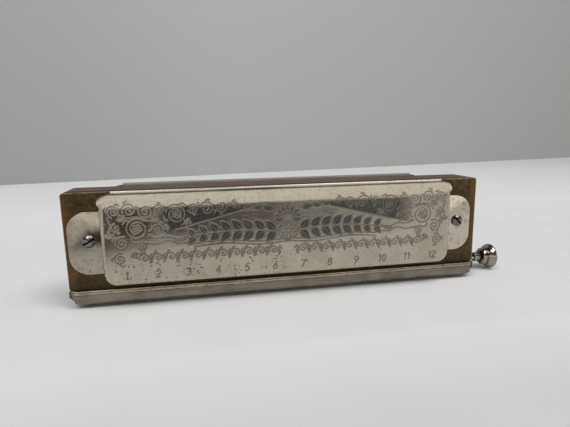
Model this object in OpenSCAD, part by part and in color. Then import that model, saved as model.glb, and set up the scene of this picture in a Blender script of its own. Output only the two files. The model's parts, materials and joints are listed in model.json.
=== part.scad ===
// Twelve-hole chromatic slide mouth organ, standing on its mouthpiece.
// Millimetres. +X runs along the length towards the slide button, the numbered front cover
// faces -Y, and Z = 0 is the flat face of the mouthpiece, with the comb above it.

/* [Comb] */
// Length of the comb and of every full-length plate
comb_len = 142; // [138:1:150]
// Height of the comb from the slide assembly to its back edge
comb_h = 31.5; // [31:0.5:34]
// Thickness of the wood between the two reed plates
comb_t = 12.6; // [12.4:0.1:14]
// Distance between neighbouring blow holes
hole_pitch = 9.48; // [9.4:0.02:9.6]
// Offset of the row of holes from the middle of the comb
hole_shift = -0.6; // [-1:0.1:0]
// Thickness of the walls between the reed chambers
cell_wall = 1.1; // [0.9:0.1:1.4]

/* [Reeds] */
// Thickness of a brass reed plate
plate_t = 1.0; // [0.9:0.05:1.1]
// Length of the lowest reed's slot
slot_long = 17.5; // [16:0.5:18]
// Length of the highest reed's slot
slot_short = 11; // [10:0.5:12]
// Width of a reed slot
slot_w = 2.4; // [2.2:0.1:2.6]

/* [Covers] */
// How far a cover stands out from its reed plate
cover_rise = 5.6; // [5.6:0.1:6.2]
// Sheet thickness of a cover
cover_t = 0.45; // [0.4:0.05:0.5]
// Half the length of a cover's raised part
cover_half = 58.6; // [57:0.2:59]
// Offset of the covers from the middle of the comb
cover_shift = -0.6; // [-1:0.1:0]
// Half the length of a cover over its screw tabs
tab_half = 69.4; // [69:0.1:70]

/* [Slide and mouthpiece] */
// Width of the mouthpiece and slide assembly, front to rear
mouth_w = 18; // [17.8:0.1:19]
// Thickness of the mouthpiece
mouth_h = 4.6; // [4.4:0.1:5]
// Thickness of the cage that the slide runs in
cage_t = 0.8; // [0.8:0.05:1]
// Thickness of the slide
slide_t = 0.6; // [0.5:0.05:0.6]
// Thickness of the backing plate between the slide and the comb
backing_t = 0.5; // [0.4:0.05:0.6]
// Width of a mouthpiece hole along the length
hole_w = 6.2; // [5.6:0.1:6.4]
// Width of a mouthpiece hole across the thickness
hole_d = 8; // [7.6:0.1:8.2]
// Largest radius of the slide button
button_r = 4.8; // [4.2:0.1:4.8]

/* [Hidden] */
$fn = 48;
eps = 0.01;

// Stack of heights above the mouthpiece face
cage_z = mouth_h;
backing_z = cage_z + cage_t;
comb_z = backing_z + backing_t;
comb_top = comb_z + comb_h;
slide_z = cage_z + (cage_t - slide_t) / 2;
axis_z = slide_z + slide_t / 2;

// Distances from the middle plane
half_len = comb_len / 2;
plate_in = comb_t / 2;
plate_out = plate_in + plate_t;

// Holes and reed chambers: two chambers side by side for each hole, front and rear
holes = 12;
cells = 2 * holes;
cell_pitch = hole_pitch / 2;
cell_w = cell_pitch - cell_wall;
septum = 1.2;
function hole_x(n) = hole_shift + (n - (holes - 1) / 2) * hole_pitch;
function cell_x(i) = hole_x(floor(i / 2)) + (i % 2 - 0.5) * cell_pitch;
function is_blow(i) = i % 2 == 0;

// Reeds
slot_z = comb_z + 6.3;
pad_len = 3;
pad_t = 0.25;
reed_t = 0.2;
reed_w = slot_w - 0.2;
pad_w = 3.2;
rivet_r = 0.6;
rivet_head_r = 0.9;
rivet_head_t = 0.2;
valve_w = 3.2;
valve_t = 0.15;
cell_spare = 3.4;
function slot_len(i) = slot_long + (slot_short - slot_long) * i / (cells - 1);
function slot_top(i) = slot_z + slot_len(i);
function rivet_z(i) = is_blow(i) ? slot_z - pad_len / 2 : slot_top(i) + pad_len / 2;

// Nails, in the walls between holes
nail_r = 0.4;
nail_head_r = 0.8;
nail_len = 4;
nail_low_z = comb_z + 4.7;
nail_high_z = comb_z + 25.6;
nail_holes = [1, 3, 5, 7, 9];

// Cover screws
bolt_x = 63.6;
bolt_z = comb_z + 16;
bolt_r = 1.1;
bolt_head_r = 2.0;
bolt_head_h = 1.5;
nut_side = 4.4;
nut_h = 1.6;

// Cover outline, as heights above the mouthpiece face
cover_foot = comb_z + 2.1;
cover_bend = comb_z + 26.5;
face_top = comb_top + 0.1;
neck_z = comb_z + 27;
ear_z = comb_z + 28.6;
ear_x = cover_half + 0.5;
cover_corner = 4;
// Rolled bead along the open back edge
bead_half = 54.6;
bead_r = 0.45;
bead_in = cover_rise - 2 * bead_r - 0.45;
bead_z = face_top + 0.35;
cover_top = bead_z + bead_r;
tab_low = comb_z + 5.1;
tab_high = comb_z + 25.4;
tab_corner = 6;

// Slide, spring and screws
travel = hole_pitch / 2;
slide_half_w = 6.5;
slide_gap = 0.1;
slide_left = -57.6;
shoulder_x = 62.9;
tongue_half_w = 2.6;
tongue_wide_x = 73;
tail_half_w = 1.3;
tail_end_x = 78;
window_w = 3.4;
window_in = 0.7;
window_out = 4.3;
notch_x = 1.6;
notch_y = 0.9;
mouth_screw_x = 64.2;
mouth_screw_r = 1.0;
mouth_screw_head_r = 1.8;
mouth_screw_top = comb_z + 9;
leg_x = 61.8;
leg_y = 1.2;
wire_r = 0.3;
coil_r = 1.7;
coil_turns = 2.5;
coil_pitch = 0.8;
coil_x = leg_x - coil_r - 0.2;
coil_z = comb_z + 9.5;
pin_r = 1.1;
recess_low_x = leg_x - travel - wire_r - 0.26;
recess_high_x = leg_x + 0.7;
recess_top = comb_z + 13.3;

// Button, measured along the slide from the end of the comb
stem_x = half_len + 5.2;
stem_r = 1.55;

// Box from one corner to the opposite one
module block(a, b) {
    translate(a) cube(b - a);
}

// Plate with rounded corners in the X-Z plane, from y0 to y1
module plate_xz(x0, x1, z0, z1, r, y0, y1) {
    block([x0 + r, y0, z0], [x1 - r, y1, z1]);
    block([x0, y0, z0 + r], [x1, y1, z1 - r]);
    for (x = [x0 + r, x1 - r], z = [z0 + r, z1 - r])
        translate([x, y0, z]) rotate([-90, 0, 0]) cylinder(h = y1 - y0, r = r);
}

// Rounded hole through the mouthpiece
module rounded_hole(w, d, r, z0, z1) {
    block([-w / 2 + r, -d / 2, z0], [w / 2 - r, d / 2, z1]);
    block([-w / 2, -d / 2 + r, z0], [w / 2, d / 2 - r, z1]);
    for (x = [-1, 1], y = [-1, 1])
        translate([x * (w / 2 - r), y * (d / 2 - r), z0]) cylinder(h = z1 - z0, r = r);
}

// Round bar along Y
module bar_y(x, z, y0, y1, r) {
    translate([x, y0, z]) rotate([-90, 0, 0]) cylinder(h = y1 - y0, r = r);
}

// Mirror the front half to the rear
module rear() {
    mirror([0, 1, 0]) children();
}

module comb_cells() {
    for (i = [0:cells - 1]) {
        x = cell_x(i);
        top = slot_top(i) + cell_spare;
        for (s = [-1, 1])
            block([x - cell_w / 2, min(s * septum / 2, s * (plate_in + 1)), comb_z - 1],
                  [x + cell_w / 2, max(s * septum / 2, s * (plate_in + 1)), top]);
    }
}

module nail_shanks(from_y) {
    for (n = nail_holes, z = [nail_low_z, nail_high_z])
        bar_y(hole_x(n) + hole_pitch / 2, z, -plate_out, from_y, nail_r);
}

module comb() {
    color("#6b3a26")
    difference() {
        plate_xz(-half_len, half_len, comb_z, comb_top, 1, -plate_in, plate_in);
        comb_cells();
        for (s = [-1, 1])
            bar_y(s * bolt_x, bolt_z, -plate_out, plate_out, bolt_r + 0.15);
        for (s = [-1, 1])
            translate([s * mouth_screw_x, 0, comb_z - 1])
                cylinder(h = mouth_screw_top + 1 - comb_z, r = mouth_screw_r);
        nail_shanks(-plate_in + nail_len);
        rear() nail_shanks(-plate_in + nail_len);
        block([recess_low_x, -1.6, comb_z - 1], [recess_high_x, 2.0, recess_top]);
        bar_y(coil_x, coil_z, -3.4, 3.8, pin_r);
    }
}

module reed_plate() {
    color("#6e5a34")
    difference() {
        plate_xz(-half_len, half_len, comb_z, comb_top, 1, -plate_out, -plate_in);
        for (i = [0:cells - 1]) {
            block([cell_x(i) - slot_w / 2, -plate_out - 1, slot_z],
                  [cell_x(i) + slot_w / 2, -plate_in + 1, slot_top(i)]);
            bar_y(cell_x(i), rivet_z(i), -plate_out - 1, -plate_in + 1, rivet_r);
        }
        for (s = [-1, 1])
            bar_y(s * bolt_x, bolt_z, -plate_out - 1, -plate_in + 1, bolt_r + 0.15);
        for (n = nail_holes, z = [nail_low_z, nail_high_z])
            bar_y(hole_x(n) + hole_pitch / 2, z, -plate_out - 1, -plate_in + 1, nail_r);
    }
}

// One reed: a riveted pad and a tongue over its slot, lying on the plate face at y = 0
module reed(i) {
    pad_low = is_blow(i) ? slot_z - pad_len : slot_top(i);
    tip = is_blow(i) ? slot_top(i) - 0.2 : slot_z + 0.2;
    root = is_blow(i) ? slot_z - eps : slot_top(i) + eps;
    difference() {
        union() {
            block([cell_x(i) - pad_w / 2, 0, pad_low], [cell_x(i) + pad_w / 2, pad_t, pad_low + pad_len]);
            block([cell_x(i) - reed_w / 2, 0, min(root, tip)], [cell_x(i) + reed_w / 2, reed_t, max(root, tip)]);
        }
        bar_y(cell_x(i), rivet_z(i), -1, 1, rivet_r);
    }
}

// Blow reeds sit inside the chambers
module blow_reeds() {
    color("#b59a52")
    for (i = [0:2:cells - 1])
        translate([0, -plate_in, 0]) reed(i);
}

// Draw reeds sit on the outer face of the plate
module draw_reeds() {
    color("#b59a52")
    for (i = [1:2:cells - 1])
        translate([0, -plate_out, 0]) rear() reed(i);
}

module reed_rivets() {
    color("#c9b06a")
    for (i = [0:cells - 1]) {
        near = is_blow(i) ? -plate_out : -plate_out - pad_t;
        far = is_blow(i) ? -plate_in + pad_t : -plate_in;
        bar_y(cell_x(i), rivet_z(i), near, far, rivet_r);
        bar_y(cell_x(i), rivet_z(i), near - rivet_head_t, near, rivet_head_r);
        bar_y(cell_x(i), rivet_z(i), far, far + rivet_head_t, rivet_head_r);
    }
}

// Valves cover each slot on the side away from its reed
module outer_valves() {
    color("#d9cfae")
    for (i = [0:2:cells - 1])
        block([cell_x(i) - valve_w / 2, -plate_out - valve_t, slot_z - 0.5],
              [cell_x(i) + valve_w / 2, -plate_out, slot_top(i) + 0.6]);
}

module inner_valves() {
    color("#d9cfae")
    for (i = [1:2:cells - 1])
        block([cell_x(i) - valve_w / 2, -plate_in, slot_z - 0.6],
              [cell_x(i) + valve_w / 2, -plate_in + valve_t, slot_top(i) + 0.5]);
}

module plate_nails() {
    color("#a58a48") {
        nail_shanks(-plate_in + nail_len);
        for (n = nail_holes, z = [nail_low_z, nail_high_z])
            bar_y(hole_x(n) + hole_pitch / 2, z, -plate_out - 0.3, -plate_out, nail_head_r);
    }
}

// Outside of a cover in section: x is the distance out from the reed plate, y the height
module cover_section() {
    bend = 1.4;
    polygon(concat(
        [[-1, cover_foot]],
        [for (a = [-90:15:0]) [cover_rise - bend + bend * cos(a), cover_foot + bend + bend * sin(a)]],
        [[cover_rise, cover_bend],
         [cover_rise - 0.12, cover_bend + 1.6],
         [cover_rise - 0.5, face_top - 0.05]],
        [for (a = [-30:20:90]) [bead_in + bead_r + bead_r * cos(a), bead_z + bead_r * sin(a)]],
        [[-1, cover_top]]));
}

// Inside of a cover in section, open towards the plate and the back edge
module cover_cavity() {
    offset(delta = -cover_t) cover_section();
    translate([-2, cover_foot + cover_t]) square([2 + bead_in, comb_h + 2]);
}

// Right half of the raised part seen from the front: rounded corner, side, ear and bead
function corner_points(x, low, r) =
    [for (a = [-90:15:0]) [x - r + r * cos(a), low + r + r * sin(a)]];
outline_right = concat(
    corner_points(cover_half, cover_foot, cover_corner),
    [[cover_half, neck_z]],
    [for (a = [0:15:90]) [bead_half + (ear_x - bead_half) * cos(a), ear_z + (face_top - ear_z) * sin(a)]],
    [[bead_half, cover_top]]);
cavity_right = concat(
    corner_points(cover_half - cover_t, cover_foot + cover_t, cover_corner - cover_t),
    [[cover_half - cover_t, neck_z], [ear_x + 2, neck_z], [ear_x + 2, cover_top + 2]]);

// Both halves of an outline, cut through from y0 to y1
module outline_prism(half, y0, y1) {
    translate([0, y1, 0]) rotate([90, 0, 0]) linear_extrude(y1 - y0)
        polygon(concat(half, [for (k = [len(half) - 1:-1:0]) [-half[k][0], half[k][1]]]));
}

// Section swept along the length; y of the section becomes Z and x becomes -Y
module along_x(half) {
    translate([-half, -plate_out, 0])
        rotate([90, 0, 90]) mirror([1, 0, 0]) linear_extrude(2 * half) children();
}

module cover() {
    far = plate_out + cover_rise + 1;
    translate([cover_shift, 0, 0])
    difference() {
        union() {
            difference() {
                intersection() {
                    along_x(ear_x + 1) cover_section();
                    outline_prism(outline_right, -far, -plate_out);
                }
                intersection() {
                    along_x(ear_x + 3) cover_cavity();
                    outline_prism(cavity_right, -far, -plate_out + 1);
                }
            }
            for (s = [-1, 1]) tab(s);
        }
        for (s = [-1, 1])
            bar_y(s * bolt_x - cover_shift, bolt_z, -far, -plate_out + 1, bolt_r + 0.2);
    }
}

// Screw tab lying on the reed plate
module tab(s) {
    difference() {
        plate_xz(-tab_half, tab_half, tab_low, tab_high, tab_corner, -plate_out - cover_t, -plate_out);
        inner = s * (cover_half - cover_t / 2);
        block([min(inner, -s * 80), -plate_out - 1, 0], [max(inner, -s * 80), -plate_out + 1, comb_top + 5]);
    }
}

module cover_screws() {
    head_y = -plate_out - cover_t;
    color("#b9b3a4")
    for (s = [-1, 1])
        difference() {
            union() {
                bar_y(s * bolt_x, bolt_z, head_y, plate_out + cover_t + nut_h + 0.3, bolt_r);
                // Domed head
                translate([s * bolt_x, head_y, bolt_z]) rotate([90, 0, 0])
                    intersection() {
                        cylinder(h = bolt_head_h, r = bolt_head_r);
                        translate([0, 0, bolt_head_h - 2.4]) sphere(r = 2.4);
                    }
            }
            translate([s * bolt_x, head_y - bolt_head_h, bolt_z]) rotate([0, s < 0 ? -28 : 48, 0])
                cube([5, 1.2, 0.55], center = true);
        }
}

module cover_nuts() {
    y = plate_out + cover_t;
    color("#a9a294")
    for (s = [-1, 1])
        difference() {
            block([s * bolt_x - nut_side / 2, y, bolt_z - nut_side / 2],
                  [s * bolt_x + nut_side / 2, y + nut_h, bolt_z + nut_side / 2]);
            bar_y(s * bolt_x, bolt_z, y - 1, y + nut_h + 1, bolt_r);
        }
}

// Full-size layer of the slide assembly with its corners cut out
module layer(z0, z1) {
    difference() {
        block([-half_len, -mouth_w / 2, z0], [half_len, mouth_w / 2, z1]);
        for (sx = [-1, 1], sy = [-1, 1])
            translate([sx * half_len, sy * mouth_w / 2, (z0 + z1) / 2])
                cube([2 * notch_x, 2 * notch_y, z1 - z0 + 2], center = true);
    }
}

module mouth_screw_holes(z0, z1, r) {
    for (s = [-1, 1])
        translate([s * mouth_screw_x, 0, z0]) cylinder(h = z1 - z0, r = r);
}

module backing_plate() {
    color("#b8ac90")
    difference() {
        layer(backing_z, comb_z);
        for (i = [0:cells - 1], s = [-1, 1])
            block([cell_x(i) - window_w / 2, min(s * window_in, s * window_out), backing_z - 1],
                  [cell_x(i) + window_w / 2, max(s * window_in, s * window_out), comb_z + 1]);
        mouth_screw_holes(backing_z - 1, comb_z + 1, mouth_screw_r);
        block([recess_low_x + 0.1, leg_y - 0.5, backing_z - 1], [leg_x + 0.5, leg_y + 0.5, comb_z + 1]);
    }
}

module slide_cage() {
    color("#b0a58c")
    difference() {
        layer(cage_z, backing_z);
        block([slide_left - travel - slide_gap, -slide_half_w - slide_gap, cage_z - 1],
              [shoulder_x + slide_gap, slide_half_w + slide_gap, backing_z + 1]);
        block([shoulder_x, -tongue_half_w - slide_gap, cage_z - 1],
              [half_len + 1, tongue_half_w + slide_gap, backing_z + 1]);
        translate([-mouth_screw_x, 0, cage_z - 1]) cylinder(h = 3, r = mouth_screw_r);
    }
}

// Half of the mouthpiece in section: flat band, bevel, rounded edge and straight side
mouth_edge = 1.2;
mouth_half_section = concat(
    [[0, 0], [4.7, 0], [8.1, 1.15]],
    [for (a = [-70:14:0]) [mouth_w / 2 - mouth_edge + mouth_edge * cos(a),
                            2.35 + mouth_edge * sin(a)]],
    [[mouth_w / 2, mouth_h], [0, mouth_h]]);

module mouthpiece() {
    hole_corner = 1.2;
    color("#a59c88")
    difference() {
        intersection() {
            layer(-1, mouth_h);
            for (s = [0, 1]) mirror([0, s, 0])
                translate([-half_len, 0, 0]) rotate([90, 0, 90])
                    linear_extrude(comb_len) polygon(mouth_half_section);
            translate([0, mouth_w, 0]) rotate([90, 0, 0]) linear_extrude(2 * mouth_w)
                polygon([for (p = [[66.9, 0], [67.9, 0.8], [71, 4.0], [71, mouth_h + 1]]) p,
                         for (p = [[-71, mouth_h + 1], [-71, 4.0], [-67.9, 0.8], [-66.9, 0]]) p]);
        }
        for (n = [0:holes - 1])
            translate([hole_x(n), 0, 0]) rounded_hole(hole_w, hole_d, hole_corner, -1, mouth_h + 1);
        mouth_screw_holes(-1, mouth_h + 1, mouth_screw_r);
        for (s = [-1, 1]) translate([s * mouth_screw_x, 0, -eps])
            cylinder(h = 1, r1 = mouth_screw_head_r, r2 = mouth_screw_r);
    }
}

module mouthpiece_screws() {
    color("#9c9484")
    for (s = [-1, 1]) translate([s * mouth_screw_x, 0, 0])
        difference() {
            union() {
                translate([0, 0, 0.2]) cylinder(h = mouth_screw_top - 2.2, r = mouth_screw_r);
                translate([0, 0, 0.2]) cylinder(h = 0.79, r1 = 1.63, r2 = mouth_screw_r);
                translate([0, 0, mouth_screw_top - 2]) cylinder(h = 2, r1 = mouth_screw_r, r2 = 0.1);
            }
            translate([0, 0, 0.3]) rotate([0, 0, s < 0 ? 35 : -20]) cube([5, 0.5, 0.8], center = true);
        }
}

module slide() {
    color("#c4baa0")
    difference() {
        union() {
            block([slide_left, -slide_half_w, slide_z], [shoulder_x, slide_half_w, slide_z + slide_t]);
            block([shoulder_x - 1, -tongue_half_w, slide_z], [tongue_wide_x, tongue_half_w, slide_z + slide_t]);
            block([tongue_wide_x - 1, -tail_half_w, slide_z], [tail_end_x, tail_half_w, slide_z + slide_t]);
        }
        // Windows: the front row opens the left chambers and the rear row the right ones
        for (n = [0:holes])
            block([hole_x(n) - cell_pitch / 2 - window_w / 2, -window_out, 0],
                  [hole_x(n) - cell_pitch / 2 + window_w / 2, -window_in, comb_z]);
        for (n = [0:holes - 1])
            block([hole_x(n) + cell_pitch / 2 - window_w / 2, window_in, 0],
                  [hole_x(n) + cell_pitch / 2 + window_w / 2, window_out, comb_z]);
        // Hole for the spring's leg
        translate([leg_x, leg_y, 0]) cylinder(h = comb_z, r = wire_r + 0.06);
        // Slot around the mouthpiece screw
        slot_r = mouth_screw_r + slide_gap;
        translate([mouth_screw_x, 0, 0]) cylinder(h = comb_z, r = slot_r);
        translate([mouth_screw_x + travel, 0, 0]) cylinder(h = comb_z, r = slot_r);
        block([mouth_screw_x, -slot_r, 0], [mouth_screw_x + travel, slot_r, comb_z]);
        translate([stem_x + 1, 0, 0]) cylinder(h = comb_z, r = 0.35);
    }
}

// Turned knob: stem, bulb, waist, flared cone, rounded rim and a slightly domed end
module slide_button() {
    bulb_x = stem_x + 2.2;
    rim_x = stem_x + 7.0;
    end_x = stem_x + 8.4;
    color("#b5aea0")
    difference() {
        translate([0, 0, axis_z]) rotate([90, 0, 90]) rotate_extrude($fn = 64)
            polygon(concat(
                [[0, stem_x], [stem_r, stem_x], [stem_r, bulb_x]],
                [for (a = [-80:20:40]) [1.85 + 1.6 * cos(a), bulb_x + 1.6 + 1.6 * sin(a)]],
                [[3.05, bulb_x + 2.9], [3.25, bulb_x + 3.3], [3.7, bulb_x + 3.9],
                 [4.35, bulb_x + 4.5], [button_r - 0.08, rim_x - 0.1]],
                [for (a = [0:22.5:90]) [button_r - 0.5 + 0.5 * cos(a), rim_x + 0.3 + 0.5 * sin(a)]],
                [[2.6, end_x - 0.25], [0, end_x]]));
        block([stem_x - 1, -tail_half_w, slide_z], [tail_end_x, tail_half_w, slide_z + slide_t]);
        translate([stem_x + 1, 0, axis_z - 2]) cylinder(h = 4, r = 0.35);
    }
}

module button_pin() {
    color("#8e8778")
    translate([stem_x + 1, 0, axis_z - 1.45]) cylinder(h = 2.9, r = 0.35);
}

// Hairpin spring: moving leg, coil, then a fixed leg against the wall of the recess
coil_steps = 50;
spring_path = concat(
    [[leg_x, leg_y, slide_z + 0.05], [leg_x, leg_y, comb_z + 1], [coil_x + coil_r, leg_y, coil_z - 1.2]],
    [for (k = [0:coil_steps])
        let (a = 360 * coil_turns * k / coil_steps)
        [coil_x + coil_r * cos(a), leg_y - coil_pitch * coil_turns * k / coil_steps, coil_z + coil_r * sin(a)]],
    [[coil_x - coil_r, leg_y - coil_pitch * coil_turns, coil_z - 1.2],
     [recess_low_x + wire_r + 0.1, leg_y - coil_pitch * coil_turns, comb_z + 1.6]]);
wire_sides = 8;
function unit(v) = v / norm(v);
function heading(p, k) = unit(p[min(k + 1, len(p) - 1)] - p[max(k - 1, 0)]);
function ring(p, k) =
    let (t = heading(p, k), n = unit(cross(t, [0, 1, 0])), b = cross(t, n))
    [for (s = [0:wire_sides - 1])
        let (a = 360 * s / wire_sides) p[k] + wire_r * (cos(a) * n + sin(a) * b)];

module slide_spring() {
    rings = len(spring_path);
    color("#9a958a")
    polyhedron(
        points = [for (k = [0:rings - 1]) each ring(spring_path, k)],
        faces = concat(
            [[for (s = [0:wire_sides - 1]) s]],
            [for (k = [0:rings - 2], s = [0:wire_sides - 1])
                let (a = k * wire_sides, b = a + wire_sides, u = (s + 1) % wire_sides)
                [a + u, a + s, b + s, b + u]],
            [[for (s = [wire_sides - 1:-1:0]) (rings - 1) * wire_sides + s]]));
}

module spring_pin() {
    color("#b39a5c")
    bar_y(coil_x, coil_z, -3.4, 3.8, pin_r);
}

comb();
reed_plate();  // front_reed_plate
rear() reed_plate();  // rear_reed_plate
blow_reeds();  // front_blow_reeds
draw_reeds();  // front_draw_reeds
rear() blow_reeds();  // rear_blow_reeds
rear() draw_reeds();  // rear_draw_reeds
reed_rivets();  // front_reed_rivets
rear() reed_rivets();  // rear_reed_rivets
outer_valves();  // front_outer_valves
inner_valves();  // front_inner_valves
rear() outer_valves();  // rear_outer_valves
rear() inner_valves();  // rear_inner_valves
plate_nails();  // front_plate_nails
rear() plate_nails();  // rear_plate_nails
color("#b9b4a4") cover();  // front_cover
color("#b9b4a4") rear() cover();  // rear_cover
cover_screws();
cover_nuts();
backing_plate();
slide_cage();
mouthpiece();
mouthpiece_screws();
slide();
slide_button();
button_pin();
slide_spring();
spring_pin();
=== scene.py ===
"""Looks of the twelve-hole chromatic harmonica: engraved nickel covers, aged brass, stained wood, a worn
mouthpiece and a turned slide button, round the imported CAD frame.

Lengths are millimetres until a mesh is made.
"""
import json
from math import copysign, cos, hypot, pi, radians, sin, sqrt

import bmesh
import bpy
import numpy as np
from mathutils import Matrix, Vector


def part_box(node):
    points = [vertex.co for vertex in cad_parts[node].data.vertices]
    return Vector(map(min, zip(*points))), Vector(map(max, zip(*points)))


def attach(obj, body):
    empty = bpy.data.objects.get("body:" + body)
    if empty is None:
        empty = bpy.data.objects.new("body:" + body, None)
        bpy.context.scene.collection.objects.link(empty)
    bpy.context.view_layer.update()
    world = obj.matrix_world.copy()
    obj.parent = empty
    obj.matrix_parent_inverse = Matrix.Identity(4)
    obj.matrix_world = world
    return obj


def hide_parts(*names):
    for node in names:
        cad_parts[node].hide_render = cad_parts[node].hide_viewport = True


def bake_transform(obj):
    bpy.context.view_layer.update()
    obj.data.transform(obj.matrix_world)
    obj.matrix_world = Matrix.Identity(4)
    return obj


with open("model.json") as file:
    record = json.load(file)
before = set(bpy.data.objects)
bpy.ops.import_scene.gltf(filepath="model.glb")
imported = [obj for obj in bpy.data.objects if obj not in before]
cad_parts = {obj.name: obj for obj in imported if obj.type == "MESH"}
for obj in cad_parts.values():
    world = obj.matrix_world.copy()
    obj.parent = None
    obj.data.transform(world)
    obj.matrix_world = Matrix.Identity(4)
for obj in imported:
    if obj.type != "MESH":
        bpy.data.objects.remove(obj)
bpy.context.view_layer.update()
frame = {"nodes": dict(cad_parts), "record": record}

MM = 0.001
BODY = "instrument"
SLIDE_BODY = "slide_unit"


def new_object(name, data):
    item = bpy.data.objects.new(name, data)
    bpy.context.collection.objects.link(item)
    return item


def corners(node):
    """Lowest and highest corner of a CAD node, in millimetres."""
    low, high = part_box(node)
    return low / MM, high / MM


comb_low, comb_high = corners("comb")
cover_low, cover_high = corners("front_cover")
cage_low, cage_high = corners("slide_cage")

COMB_Z = comb_low.z
COMB_TOP = comb_high.z
PLATE_OUT = -corners("front_reed_plate")[0].y
HALF_LENGTH = comb_high.x

# The covers: raised part, ears beside the neck, rolled bead along the back, and screw tabs
COVER_RISE = -cover_low.y - PLATE_OUT
COVER_SHIFT = (cover_low.x + cover_high.x) / 2
TAB_HALF = (cover_high.x - cover_low.x) / 2
COVER_HALF = TAB_HALF - 10.8
EAR_FLARE = 0.25
BEAD_HALF = COVER_HALF - 4
BEAD_R = 0.45
SHEET = 0.45
BEND = 1.4
CORNER = 4.0
FOOT_Z = cover_low.z
NECK_Z = FOOT_Z + 24.9
EAR_Z = FOOT_Z + 26.5
BACK_BEND_Z = FOOT_Z + 24.4
BEAD_Z = cover_high.z - BEAD_R
FACE_TOP_Z = BEAD_Z - 0.4
BEAD_OUT = COVER_RISE - 0.95
TAB_LOW_Z = FOOT_Z + 3.0
TAB_HIGH_Z = FOOT_Z + 23.3
TAB_CORNER = 6.0


# ---- camera

CAMERA_AT = Vector((-28.25, -152.94, 55.04)) * MM
CAMERA_HEADING = 10.78
CAMERA_TILT = -10.47
CAMERA_ROLL = -0.9
CAMERA_LENS = 28.01


def make_camera():
    data = bpy.data.cameras.new("camera")
    data.lens = CAMERA_LENS
    data.sensor_width = 36
    data.clip_start = 0.005
    camera = new_object("camera", data)
    turn = Matrix.Rotation(radians(-CAMERA_HEADING), 4, "Z")
    tip = Matrix.Rotation(radians(90 + CAMERA_TILT), 4, "X")
    roll = Matrix.Rotation(radians(CAMERA_ROLL), 4, "Z")
    camera.matrix_world = Matrix.Translation(CAMERA_AT) @ turn @ tip @ roll
    bpy.context.scene.camera = camera


make_camera()


class Finish:
    """One material's nodes, with short calls for them. Places are in millimetres."""

    def __init__(self, name, **settings):
        self.material = bpy.data.materials.new(name)
        self.material.use_nodes = True
        self.tree = self.material.node_tree
        self.shader = self.tree.nodes["Principled BSDF"]
        for socket, value in settings.items():
            self.shader.inputs[socket.replace("_", " ")].default_value = value
        place = self.add("TexCoord").outputs["Object"]
        scaled = self.add("VectorMath", {0: place, 1: (1 / MM,) * 3}, operation="MULTIPLY")
        self.place = scaled.outputs[0]
        self.x, self.y, self.z = self.add("SeparateXYZ", {0: self.place}).outputs
        self.base = None

    def add(self, kind, inputs=None, **properties):
        node = self.tree.nodes.new("ShaderNode" + kind)
        for key, value in properties.items():
            setattr(node, key, value)
        for key, value in (inputs or {}).items():
            if isinstance(value, bpy.types.NodeSocket):
                self.tree.links.new(value, node.inputs[key])
            else:
                node.inputs[key].default_value = value
        return node

    def mapped(self, size, stretch, offset):
        """The place in units of size, drawn out by stretch and moved by offset."""
        scale = tuple(1 / (size * s) for s in stretch)
        inputs = {"Vector": self.place, "Scale": scale, "Location": (offset,) * 3}
        return self.add("Mapping", inputs).outputs[0]

    def noise(self, size, detail=3, stretch=(1, 1, 1), distortion=0, offset=0):
        """Noise from 0 to 1 whose blobs are about size across."""
        inputs = {"Vector": self.mapped(size, stretch, offset), "Scale": 1.0}
        inputs.update(Detail=detail, Distortion=distortion)
        return self.add("TexNoise", inputs).outputs["Fac"]

    def pits(self, size, offset=0.0):
        """Distance to the nearest of many scattered points that are about size apart."""
        inputs = {"Vector": self.mapped(size, (1, 1, 1), offset), "Scale": 1.0}
        return self.add("TexVoronoi", inputs).outputs["Distance"]

    def span(self, value, low=0.3, high=0.7, to_low=0.0, to_high=1.0):
        """Value from low to high becomes to_low to to_high, eased, and stays there outside."""
        inputs = {"Value": value, "From Min": low, "From Max": high, "To Min": to_low, "To Max": to_high}
        return self.add("MapRange", inputs, interpolation_type="SMOOTHSTEP").outputs[0]

    def math(self, operation, a, b=0.0):
        return self.add("Math", {0: a, 1: b}, operation=operation).outputs[0]

    def times(self, a, b):
        return self.math("MULTIPLY", a, b)

    def plus(self, a, b):
        return self.math("ADD", a, b)

    def absolute(self, value):
        return self.math("ABSOLUTE", value)

    def mix(self, factor, a, b):
        a, b = [c if isinstance(c, bpy.types.NodeSocket) else (*c, 1) for c in (a, b)]
        return self.add("Mix", {0: factor, 6: a, 7: b}, data_type="RGBA").outputs[2]

    def paint(self, factor, colour):
        """Lay a colour over the base colour, as far as factor says."""
        self.base = self.mix(factor, self.base, colour)
        self.feed("Base Color", self.base)

    def attribute(self, name):
        return self.add("Attribute", attribute_name=name).outputs["Fac"]

    def feed(self, socket, value):
        self.tree.links.new(value, self.shader.inputs[socket])

    def bump(self, height, depth):
        """Bump of that depth, for a height from 0 to 1, on top of any bump before it."""
        node = self.add("Bump", {"Height": height, "Distance": depth * MM, "Strength": 1.0})
        normal = self.shader.inputs["Normal"]
        if normal.is_linked:
            self.tree.links.new(normal.links[0].from_socket, node.inputs["Normal"])
        self.feed("Normal", node.outputs[0])


# ---- materials

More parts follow.
